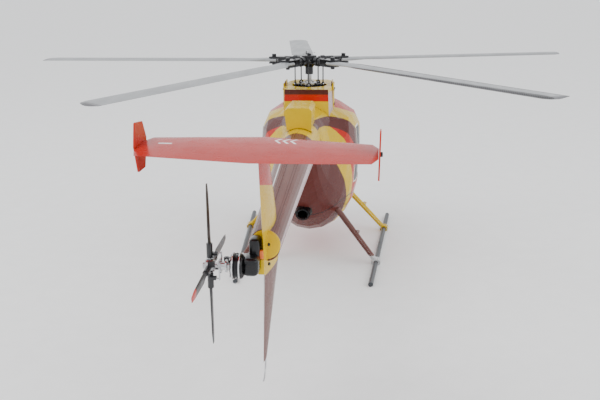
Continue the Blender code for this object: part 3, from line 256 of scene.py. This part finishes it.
def fairing_paint():
    look = gloss_paint("fairing_paint")
    normal = look.tree.nodes.new("ShaderNodeNewGeometry").outputs["Normal"]
    side, aft, up = look.add("ShaderNodeSeparateXYZ", [normal]).outputs
    rear = look.math("GREATER_THAN", aft, 0.45)
    top_band = look.math("MULTIPLY", rear, look.above(look.z, 0.2975))
    red_band = look.math("MULTIPLY", rear, look.between(0.2865, look.z, 0.2975))
    flank = look.math("GREATER_THAN", look.math("ABSOLUTE", side), 0.80)
    flank = look.math("MULTIPLY", flank, look.above(0.300, look.z))
    flank = look.math("MULTIPLY", flank, look.above(look.y, 0.012))
    colour = look.painted(YELLOW, (flank, ROSE_GREY), (red_band, RED), (top_band, BAND_BROWN))
    return look.finish(colour)


def plain_paint(name, colour):
    look = gloss_paint(name)
    return look.finish(colour)


def fin_paint():
    look = gloss_paint("fin_paint")
    slant = look.math("MULTIPLY_ADD", look.y, 0.25, 0.132)
    foot = look.above(0.1755, look.z)
    return look.finish(look.painted(YELLOW, (look.above(look.z, slant), RED), (foot, BROWN)))


def boom_paint():
    """Brown with dark pinstripes along it, a painted highlight along the right edge and a pale painted
    highlight strip on the upper left.
    """
    look = gloss_paint("boom_paint")
    radius = look.math("MULTIPLY_ADD", look.y, -0.0300, 0.0347)
    share = look.math("DIVIDE", look.x, radius)
    bands = []
    for middle in (-0.52, -0.40, 0.10, 0.22, 0.60):
        bands.append((look.between(middle - 0.022, share, middle + 0.022), BAND_BROWN))
    # Painted highlight: a rose grey strip along the boom's right edge.
    bands.append((look.above(-0.93, share), ROSE_GREY))
    # Painted highlight: a pale strip along the boom's upper left.
    painted_highlight = look.math("MULTIPLY", look.between(0.38, share, 0.46), look.between(0.25, look.y, 0.45))
    bands.append((painted_highlight, PALE))
    bands.append((look.above(0.212, look.y), YELLOW))
    return look.finish(look.painted(BROWN, *bands), stretch=(1, 0.15, 1))


def tailplane_paint():
    """Red-orange with generic white chevrons where the real one has markings."""
    look = gloss_paint("tailplane_paint")
    marks = []
    for middle in (-0.0325, -0.0245, -0.0165):
        bend = look.math("ABSOLUTE", look.math("SUBTRACT", look.y, 0.588))
        front = look.math("MULTIPLY_ADD", bend, -0.45, middle)
        mark = look.between(front, look.x, look.math("ADD", front, 0.0026))
        marks.append((look.math("MULTIPLY", mark, look.above(0.0125, bend)), WHITE))
    outer = look.between(0.088, look.x, 0.102)
    marks.append((look.math("MULTIPLY", outer, look.between(0.612, look.y, 0.616)), WHITE))
    return look.finish(look.painted((0.42, 0.012, 0.004), *marks))


def rotor_blade_look(number, direction, dark):
    """Satin grey composite with a fine lengthwise grain, a worn tip and a protected leading edge."""
    look = Look(f"main_blade_{number}_composite", Specular_IOR_Level=0.45, Coat_Weight=0.15)
    out = look.add("ShaderNodeVectorMath", [look.place, tuple(direction)], operation="DOT_PRODUCT").outputs[1]
    ahead = (-direction.y, direction.x, 0.0)
    across = look.add("ShaderNodeVectorMath", [look.place, ahead], operation="DOT_PRODUCT").outputs[1]
    stretch = (0.15, 1, 1) if abs(direction.x) > 0.7 else (1, 0.15, 1)
    grey = (0.30, 0.31, 0.32)
    tip = look.above(out, 0.494)
    edge = look.above(look.math("ABSOLUTE", across), 0.0135)
    weave = look.math("SINE", look.math("MULTIPLY", look.math("ADD", out, across), 1800.0))
    bars = look.math("MULTIPLY", look.above(weave, 0.0), edge)
    bands = [(tip, (0.18, 0.18, 0.19))]
    if dark:
        bands += [(edge, (0.02, 0.02, 0.022)), (look.math("MULTIPLY", bars, 0.5), (0.16, 0.16, 0.17))]
    return look.finish(look.painted(grey, *bands), (0.34, 0.52), 500.0, 0.00004, stretch, 0.82)


def tail_blade_look(name, red_tip):
    look = Look(name, Coat_Weight=0.2, Coat_Roughness=0.2)
    centre = (TAIL_HIGH + TAIL_LOW) / 2 - MAST
    away = look.math("SUBTRACT", look.y, centre.y)
    tip = look.above(away, TAIL_BLADE_TIP) if red_tip else 0.0
    return look.finish(look.painted(BLACK, (tip, RED)), (0.30, 0.5), 400.0, 0.00004)


def metal(name, colour, rough=(0.16, 0.34), stretch=(1, 1, 8)):
    """Turned or drawn metal with fine parallel tool marks."""
    look = Look(name, Metallic=1.0, Anisotropic=0.3)
    return look.finish(colour, rough, 1400.0, 0.00002, stretch, 0.80)


def anodised(name, colour):
    look = Look(name, Metallic=0.75, Coat_Weight=0.35, Coat_Roughness=0.12)
    return look.finish(colour, (0.24, 0.42), 1100.0, 0.00002, (1, 1, 3), 0.75)


def plastic(name, colour, rough=(0.36, 0.55)):
    look = Look(name, Specular_IOR_Level=0.5)
    return look.finish(colour, rough, 1500.0, 0.00005, (1, 1, 1), 0.80)


def glass():
    """Dark tinted acrylic with faint wiping marks."""
    look = Look("dark_acrylic", Coat_Weight=1.0, Coat_Roughness=0.03, IOR=1.49)
    return look.finish((0.018, 0.014, 0.014), (0.05, 0.14), 30.0, 0.00003, (1, 3, 1), 0.7)


def skid_look():
    look = Look("skid_tube", Metallic=0.6, Coat_Weight=0.1)
    scuff = look.math("MULTIPLY", look.above(0.0016, look.z), look.above(look.noise(120.0, 4.0), 0.45))
    colour = look.painted((0.055, 0.06, 0.066), (scuff, PALE))
    return look.finish(colour, (0.32, 0.5), 700.0, 0.00003, (1, 0.1, 1))


def rear_leg_look():
    """Brown strut with a pale clamp at its foot."""
    look = gloss_paint("rear_leg_paint")
    return look.finish(look.painted(BROWN, (look.above(0.0155, look.z), PALE)))


# ---------------------------------------------------------------- meshes
def body_name(thing):
    return body_of(thing)[0]


def add_piece(name, bm, material, body):
    """Make a piece from a bmesh in mast coordinates and let it ride on a body."""
    bmesh.ops.recalc_face_normals(bm, faces=bm.faces)
    mesh = bpy.data.meshes.new(name)
    bm.to_mesh(mesh)
    bm.free()
    mesh.transform(Matrix.Translation(MAST))
    mesh.shade_smooth()
    mesh.set_sharp_from_angle(angle=0.6)
    mesh.materials.append(material)
    piece = bpy.data.objects.new(name, mesh)
    bpy.context.scene.collection.objects.link(piece)
    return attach(piece, body)


def reshaped(node, move, material):
    """A copy of a CAD node with each point moved by a rule, which stands for the node."""
    bm = bmesh.new()
    bm.from_mesh(nodes[node].data)
    bmesh.ops.translate(bm, verts=bm.verts, vec=-MAST)
    bm.normal_update()
    for vertex in bm.verts:
        vertex.co = Vector(move(vertex.co, vertex.normal))
    piece = add_piece(node + "_skin", bm, material, body_name(nodes[node]))
    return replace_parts(piece, node)


def lathe(profile, steps):
    """Turn (radius, height) points about Z."""
    bm = bmesh.new()
    rings = []
    for radius, height in profile:
        turns = [2 * pi * i / steps for i in range(steps)] if radius else [0]
        rings.append([bm.verts.new((radius * cos(t), radius * sin(t), height)) for t in turns])
    for low, high in zip(rings, rings[1:]):
        for i in range(steps):
            j = (i + 1) % steps
            loop = [low[i % len(low)], low[j % len(low)], high[j % len(high)], high[i % len(high)]]
            bm.faces.new(list(dict.fromkeys(loop)))
    return bm


def aimed(bm, place, direction):
    turn = Vector(direction).to_track_quat("Z", "Y").to_matrix().to_4x4()
    bm.transform(Matrix.Translation(place) @ turn)
    return bm


def cap_screw(name, place, direction, radius, body, material):
    """Socket cap screw: a bevelled head with a recess."""
    r = radius
    profile = (
        (0, 0), (r, 0), (r, r * 0.75), (r * 0.86, r * 0.95),
        (r * 0.5, r * 0.95), (r * 0.5, r * 0.4), (0, r * 0.4),
    )
    return add_piece(name, aimed(lathe(profile, 16), place, direction), material, body)


def ring_piece(name, place, direction, inner, outer, length, body, material):
    """A bevelled ring round an axis."""
    b = (outer - inner) * 0.3
    profile = (
        (inner, 0), (outer - b, 0), (outer, b), (outer, length - b),
        (outer - b, length), (inner, length), (inner, 0),
    )
    bm = lathe(profile, 28)
    bmesh.ops.remove_doubles(bm, verts=bm.verts, dist=1e-6)
    return add_piece(name, aimed(bm, place, direction), material, body)


def soft_block(name, low, high, round_by, body, material):
    """A block with rounded edges."""
    low, high = Vector(low), Vector(high)
    bm = bmesh.new()
    bmesh.ops.create_cube(bm, size=1.0)
    bmesh.ops.scale(bm, vec=high - low, verts=bm.verts)
    bmesh.ops.translate(bm, vec=(low + high) / 2, verts=bm.verts)
    bmesh.ops.bevel(bm, geom=bm.edges, offset=round_by, segments=3, profile=0.5, affect="EDGES")
    return add_piece(name, bm, material, body)


def foil_share(share):
    """Half thickness of a symmetrical aerofoil, as a share of the whole thickness."""
    return 5 * (
        0.2969 * share**0.5 - 0.1260 * share - 0.3516 * share**2
        + 0.2843 * share**3 - 0.1036 * share**4
    )


def foil_loft(sections, place):
    """Loft of aerofoils, each (station, leading edge, chord, thickness), placed by a function."""
    bm = bmesh.new()
    rings = []
    for station, lead, chord, thickness in sections:
        shares = [(1 - cos(pi * i / FOIL_STEPS)) / 2 for i in range(FOIL_STEPS + 1)]
        upper = [(lead + s * chord, foil_share(s) * thickness) for s in shares[1:-1]]
        points = [(lead, 0), *upper, (lead + chord, 0), *[(a, -b) for a, b in upper[::-1]]]
        rings.append([bm.verts.new(place(station, a, b)) for a, b in points])
    for low, high in zip(rings, rings[1:]):
        for i in range(len(low)):
            j = (i + 1) % len(low)
            bm.faces.new((low[i], low[j], high[j], high[i]))
    bm.faces.new(rings[0][::-1])
    bm.faces.new(rings[-1])
    return bm


def outline_bead(node, radius, material):
    """A thin moulded frame along the outer edge of a window's outer face."""
    mesh = nodes[node].data
    centre = sum((v.co for v in mesh.vertices), Vector()) / len(mesh.vertices)
    side = 1 if centre.x > MAST.x else -1
    bm = bmesh.new()
    bm.from_mesh(mesh)
    bm.normal_update()
    inner = [f for f in bm.faces if f.normal.x * side < 0.25]
    bmesh.ops.delete(bm, geom=inner, context="FACES")
    edges = {e for e in bm.edges if e.is_boundary}
    edge = edges.pop()
    chain = [edge.verts[0], edge.verts[1]]
    while True:
        following = [e for e in chain[-1].link_edges if e in edges]
        if not following:
            break
        edges.discard(following[0])
        chain.append(following[0].other_vert(chain[-1]))
    points = [warped(v.co - MAST, None) for v in chain]
    bm.free()
    tube(node + "_frame", points, radius, material, body_name(nodes[node]), closed=True)


def tube(name, points, radius, material, body, closed=False):
    """A round bead or wire along a smooth path, as a mesh."""
    data = bpy.data.curves.new(name, "CURVE")
    data.dimensions = "3D"
    data.bevel_depth = radius
    data.bevel_resolution = 2
    data.use_fill_caps = True
    spline = data.splines.new("POLY")
    distinct = [points[0]]
    for point in points[1:]:
        if (Vector(point) - Vector(distinct[-1])).length > PLACE_STEP:
            distinct.append(point)
    if closed and (Vector(distinct[0]) - Vector(distinct[-1])).length < PLACE_STEP:
        distinct.pop()
    spline.points.add(len(distinct) - 1)
    for target, point in zip(spline.points, distinct):
        target.co = (*point, 1.0)
    spline.use_cyclic_u = closed
    holder = bpy.data.objects.new(name, data)
    bpy.context.scene.collection.objects.link(holder)
    bm = bmesh.new()
    bm.from_mesh(holder.to_mesh())
    bpy.data.objects.remove(holder)
    return add_piece(name, bm, material, body)


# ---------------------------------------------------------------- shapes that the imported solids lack
SHOULDER = 0.0125                 # how much fuller the pod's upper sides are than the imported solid


def smooth_step(value, low, high):
    share = min(max((value - low) / (high - low), 0.0), 1.0)
    return share * share * (3 - 2 * share)


def warped(point, _normal):
    """The pod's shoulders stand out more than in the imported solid, and its roof and belly stay."""
    x, y, z = point
    height = smooth_step(z, 0.165, 0.250)
    width = smooth_step(abs(x), 0.040, 0.056)
    along = smooth_step(y, -0.215, -0.140) * (1 - smooth_step(y, 0.040, 0.135))
    return x + (1 if x > 0 else -1) * SHOULDER * height * width * along, y, z


def fuller_exhaust(point, normal):
    away = Vector((normal.x, 0, normal.z)) * 0.0015
    return point.x + EXHAUST_SHIFT + away.x, point.y, point.z + away.z


def thicker_leg(point, normal):
    return point.x + normal.x * 0.0014, point.y, point.z


def shorter_boom(point, _normal):
    """The whole boom ends where the tail gearbox begins."""
    return point.x, min(point.y, BOOM_CUT_Y), point.z


def longer_box(point, _normal):
    back = 0.007 * smooth_step(point.y, 0.150, 0.196)
    flare = 1 + 0.22 * (1 - smooth_step(point.z, 0.250, 0.268))
    return point.x * flare, point.y + back, point.z


def build_skins(paints):
    for node in ("pod", "cabin"):
        reshaped(node, warped, paints["livery"])
    for node in nodes:
        if node.startswith(("windscreen", "front_door", "rear_door")):
            reshaped(node, warped, paints["glass"])
            outline_bead(node, 0.0011, paints["cream"])
        elif node.startswith("front_leg"):
            reshaped(node, thicker_leg, paints["yellow"])
        elif node.startswith("rear_leg"):
            reshaped(node, thicker_leg, paints["rear_leg"])
    reshaped("exhaust", fuller_exhaust, paints["black"])
    reshaped("tail_boom", shorter_boom, paints["boom"])
    reshaped("rear_fairing", longer_box, paints["yellow"])


def build_tail_surfaces(paints):
    """Fins and tailplane with the photograph's thicker sections and longer chords."""
    body = body_name(nodes["fin"])

    def upright(height, back, out):
        return out, back, height
    upper = ((0.1745, 0.502, 0.080, 0.0145), (0.235, 0.515, 0.081, 0.0140), (0.3165, 0.560, 0.0545, 0.0085))
    fin = add_piece("fin_skin", foil_loft(upper, upright), paints["fin"], body)
    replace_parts(fin, "fin")
    lower = ((0.0835, 0.586, 0.020, 0.0030), (0.1745, 0.502, 0.080, 0.0145))
    ventral = add_piece("ventral_fin_skin", foil_loft(lower, upright), paints["brown"], body)
    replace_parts(ventral, "ventral_fin")

    def level(station, back, out):
        return station, back, TAILPLANE_HEIGHT + station * TAILPLANE_SLOPE + out
    half = []
    plan = ((0.1215, 0.589, 0.048), (0.1150, 0.574, 0.086), (0.060, 0.5645, 0.1030), (0, 0.555, 0.120))
    for x, lead, chord in plan:
        half.append((x, lead, chord, chord * 0.09))
    stations = [(-x, *rest) for x, *rest in half] + half[-2::-1]
    plane = add_piece("tailplane_skin", foil_loft(stations, level), paints["tailplane"], body)
    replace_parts(plane, "tailplane")


# ---------------------------------------------------------------- trim
def build_gearbox(paints):
    """Rounded castings and a turned bearing housing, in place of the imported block."""
    body = body_name(nodes["tail_gearbox"])
    profile = (
        (0, 0.0190), (0.0100, 0.0190), (0.0128, 0.0206), (0.0140, 0.0230), (0.0140, 0.0255),
        (0.0130, 0.0262), (0.0130, 0.0280), (0.0140, 0.0287), (0.0140, 0.0312),
        (0.0122, 0.0330), (0.0040, 0.0336), (0.0040, 0.0325), (0, 0.0325),
    )
    gloss = paints["gloss_black"]
    barrel = aimed(lathe(profile, 40), (0, TAIL_AXIS_Y, TAIL_AXIS_HEIGHT), (1, 0, 0))
    housing = add_piece("tail_gearbox_skin", barrel, gloss, body)
    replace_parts(housing, "tail_gearbox")
    soft_block("gearbox_casting", (0.0030, 0.5830, 0.1835), (0.0205, 0.6110, 0.2040), 0.0055, body, gloss)
    soft_block("gearbox_saddle", (0.0034, 0.5750, 0.1980), (0.0150, 0.5960, 0.2210), 0.0042, body, gloss)
    soft_block("gearbox_arm", (0.0220, 0.5790, 0.1868), (0.0440, 0.5850, 0.1892), 0.0010, body, gloss)
    low, high = (0.0000, 0.5865, 0.1975), (0.0060, 0.5925, 0.2075)
    soft_block("gearbox_lug", low, high, 0.0012, body, paints["orange"])
    low, high = (-0.0010, 0.5865, 0.1800), (0.0058, 0.5925, 0.1972)
    soft_block("lower_lug", low, high, 0.0012, body, paints["yellow"])
    pivot = (0.0415, 0.582, 0.1880)
    ring_piece("lever_pivot_ring", pivot, (0, 0, 1), 0.0010, 0.0024, 0.0012, body, paints["chrome"])
    end = ((0, 0.5735), (0.0168, 0.5735), (0.0168, 0.5750), (0.0150, 0.5765), (0, 0.5775))
    cap = aimed(lathe(end, 32), (0, 0, 0.2087), (0, 1, 0))
    add_piece("boom_end_cap", cap, paints["yellow"], body)
    for k, height in enumerate((0.1900, 0.2120)):
        place = (-0.0045, 0.5840, height)
        cap_screw(f"fin_screw_{k + 1}", place, (-1, 0.3, 0), 0.0019, body, paints["black"])


def build_trim(paints):
    """Exhaust ring, fairing cheeks, end plate screws and the tail housing's rings and screws."""
    body = body_name(nodes["pod"])
    exhaust_low, exhaust_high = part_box("exhaust")
    mouth = (exhaust_low + exhaust_high) / 2 - MAST
    axis = Vector((0, cos(EXHAUST_DROP), -sin(EXHAUST_DROP)))
    place = Vector((EXHAUST_SHIFT, mouth.y, mouth.z)) - axis * 0.004
    ring_piece("exhaust_ring", place, axis, 0.0118, 0.0165, 0.0040, body, paints["rubber"])
    for side in (-1, 1):
        x = CHEEK_X * side
        outer_x = x + CHEEK_THICKNESS * side
        low, high = (min(x, outer_x), -0.010, 0.262), (max(x, outer_x), 0.020, 0.3105)
        word = "left" if side > 0 else "right"
        soft_block(f"fairing_cheek_{word}", low, high, 0.0009, body, paints["yellow"])
        for k, (y, z) in enumerate(((-0.004, 0.300), (0.014, 0.300), (-0.004, 0.275), (0.014, 0.275))):
            place = (x + 0.0020 * side, y, z)
            cap_screw(f"cheek_screw_{word}_{k + 1}", place, (side, 0, 0), 0.0016, body, paints["black"])
        plate_low, plate_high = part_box(f"end_plate_{word}")
        middle = (plate_low + plate_high) / 2 - MAST
        place = (middle.x + 0.0006 * side, middle.y + 0.004, middle.z)
        cap_screw(f"end_plate_screw_{word}", place, (side, 0, 0), 0.0026, body, paints["black"])
    for k in range(6):
        turn = 2 * pi * k / 6
        place = (0.0330, TAIL_AXIS_Y + 0.0112 * cos(turn), TAIL_AXIS_HEIGHT + 0.0112 * sin(turn))
        cap_screw(f"housing_screw_{k + 1}", place, (1, 0, 0), 0.0013, body, paints["steel"])
    for k, x in enumerate((0.0225, 0.0300)):
        place = (x, TAIL_AXIS_Y, TAIL_AXIS_HEIGHT)
        ring_piece(f"housing_ring_{k + 1}", place, (1, 0, 0), 0.0136, 0.0148, 0.0016, body, paints["chrome"])


def build_hub_trim(paints):
    """Screws on top of the rotor head."""
    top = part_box("rotor_hub")[1].z - HEAD_SINK
    body = body_name(nodes["rotor_hub"])
    cap_screw("head_screw", (0, 0, top), (0, 0, 1), 0.0040, body, paints["steel"])
    for k in range(5):
        turn = 2 * pi * (k + 0.5) / 5
        place = (0.0090 * cos(turn), 0.0090 * sin(turn), top)
        cap_screw(f"cap_screw_{k + 1}", place, (0, 0, 1), 0.0013, body, paints["steel"])


def paint_nodes(paints):
    """Give every CAD node that still shows its own finish."""
    rules = (
        ("mast_fairing", "fairing"), ("tail_boom", "boom"), ("end_plate", "plate_red"), ("skid", "skid"),
        ("main_frame", "plastic"), ("servo", "plastic"), ("battery", "battery"), ("motor", "motor"),
        ("main_gear", "white"), ("pinion", "steel"), ("mast", "steel"), ("rotor_hub", "black"),
        ("blade_grip", "black"), ("swashplate_fixed", "black"), ("swashplate_turning", "aluminium"),
        ("pitch_link", "plastic"), ("tail_gearbox", "gloss_black"), ("tail_hub", "steel"),
        ("tail_slider", "aluminium"), ("tail_lever", "black"), ("tail_skid", "steel"),
    )
    for name, thing in nodes.items():
        chosen = next((paints[paint] for start, paint in rules if name.startswith(start)), paints["plastic"])
        if name.startswith(("main_blade", "tail_blade")):
            low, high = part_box(name)
            middle = (low + high) / 2 - MAST
            if name.startswith("main"):
                direction = Vector((middle.x, middle.y, 0)).normalized()
                dark = direction.x < -0.5 and direction.y > 0
                chosen = rotor_blade_look(name[-1], direction, dark)
            else:
                chosen = tail_blade_look(name + "_moulding", middle.y > 0.62)
        thing.data.materials.clear()
        thing.data.materials.append(chosen)


# ---------------------------------------------------------------- camera, floor and light
def add_camera():
    """The photograph's camera: behind the model, a little above it and to its right."""
    yaw, pitch, roll = CAMERA_YAW, CAMERA_PITCH, CAMERA_ROLL
    forward = Vector((-sin(yaw) * cos(pitch), -cos(yaw) * cos(pitch), -sin(pitch)))
    right = forward.cross(Vector((0, 0, 1))).normalized()
    up = right.cross(forward)
    right, up = right * cos(roll) + up * sin(roll), up * cos(roll) - right * sin(roll)
    camera = bpy.data.objects.new("camera", bpy.data.cameras.new("camera"))
    camera.data.sensor_width = CAMERA_SENSOR
    camera.data.lens = CAMERA_LENS
    place = Matrix((right, up, -forward)).transposed().to_4x4()
    place.translation = MAST + Vector(CAMERA_PLACE)
    camera.matrix_world = place
    bpy.context.scene.collection.objects.link(camera)
    bpy.context.scene.camera = camera


def add_floor():
    look = Look("floor_paper", Specular_IOR_Level=0.2)
    mesh = bpy.data.meshes.new("floor")
    corners = [(x * FLOOR_HALF, y * FLOOR_HALF, 0) for x, y in ((-1, -1), (1, -1), (1, 1), (-1, 1))]
    mesh.from_pydata(corners, [], [(0, 1, 2, 3)])
    mesh.materials.append(look.finish((0.93, 0.93, 0.925), (0.6, 0.75), 300.0, 0.00002, (1, 1, 1), 0.97))
    floor = bpy.data.objects.new("floor", mesh)
    bpy.context.scene.collection.objects.link(floor)


def add_light(name, place, size, power):
    light = bpy.data.lights.new(name, "AREA")
    light.size = size
    light.energy = power
    lamp = bpy.data.objects.new(name, light)
    place = MAST + Vector(place)
    aim = MAST + Vector((0, 0.1, 0.18)) - place
    lamp.matrix_world = Matrix.Translation(place) @ aim.to_track_quat("-Z", "Y").to_matrix().to_4x4()
    bpy.context.scene.collection.objects.link(lamp)


def add_studio():
    world = bpy.data.worlds.new("studio")
    world.use_nodes = True
    background = world.node_tree.nodes["Background"]
    background.inputs["Color"].default_value = (0.93, 0.94, 0.96, 1.0)
    background.inputs["Strength"].default_value = 1.45
    bpy.context.scene.world = world
    add_light("key_light", (1.3, 1.2, 2.2), 1.2, 22)
    add_light("fill_light", (-1.6, 1.0, 1.4), 1.6, 12)


paints = {
    "livery": livery(),
    "fairing": fairing_paint(),
    "fin": fin_paint(),
    "boom": boom_paint(),
    "tailplane": tailplane_paint(),
    "skid": skid_look(),
    "rear_leg": rear_leg_look(),
    "glass": glass(),
    "yellow": plain_paint("yellow_gloss", YELLOW),
    "brown": plain_paint("brown_gloss", BROWN),
    "plate_red": plain_paint("plate_gloss", (0.50, 0.024, 0.010)),
    "cream": plain_paint("cream_gloss", CREAM),
    "black": anodised("black_anodised", (0.020, 0.020, 0.023)),
    "gloss_black": anodised("gearbox_black", (0.012, 0.012, 0.014)),
    "orange": plastic("orange_moulding", ORANGE),
    "rubber": plastic("black_rubber", (0.030, 0.030, 0.027), (0.5, 0.7)),
    "plastic": plastic("black_moulding", (0.018, 0.018, 0.020)),
    "white": plastic("white_moulding", WHITE),
    "battery": plastic("battery_wrap", (0.03, 0.05, 0.16)),
    "motor": metal("motor_can", (0.55, 0.33, 0.12)),
    "steel": metal("turned_steel", (0.55, 0.55, 0.56)),
    "chrome": metal("chrome", (0.75, 0.75, 0.76), (0.06, 0.14)),
    "aluminium": metal("machined_aluminium", (0.62, 0.63, 0.65)),
}

add_camera()
add_floor()
add_studio()
paint_nodes(paints)
build_skins(paints)
build_tail_surfaces(paints)
build_gearbox(paints)
build_trim(paints)
build_hub_trim(paints)
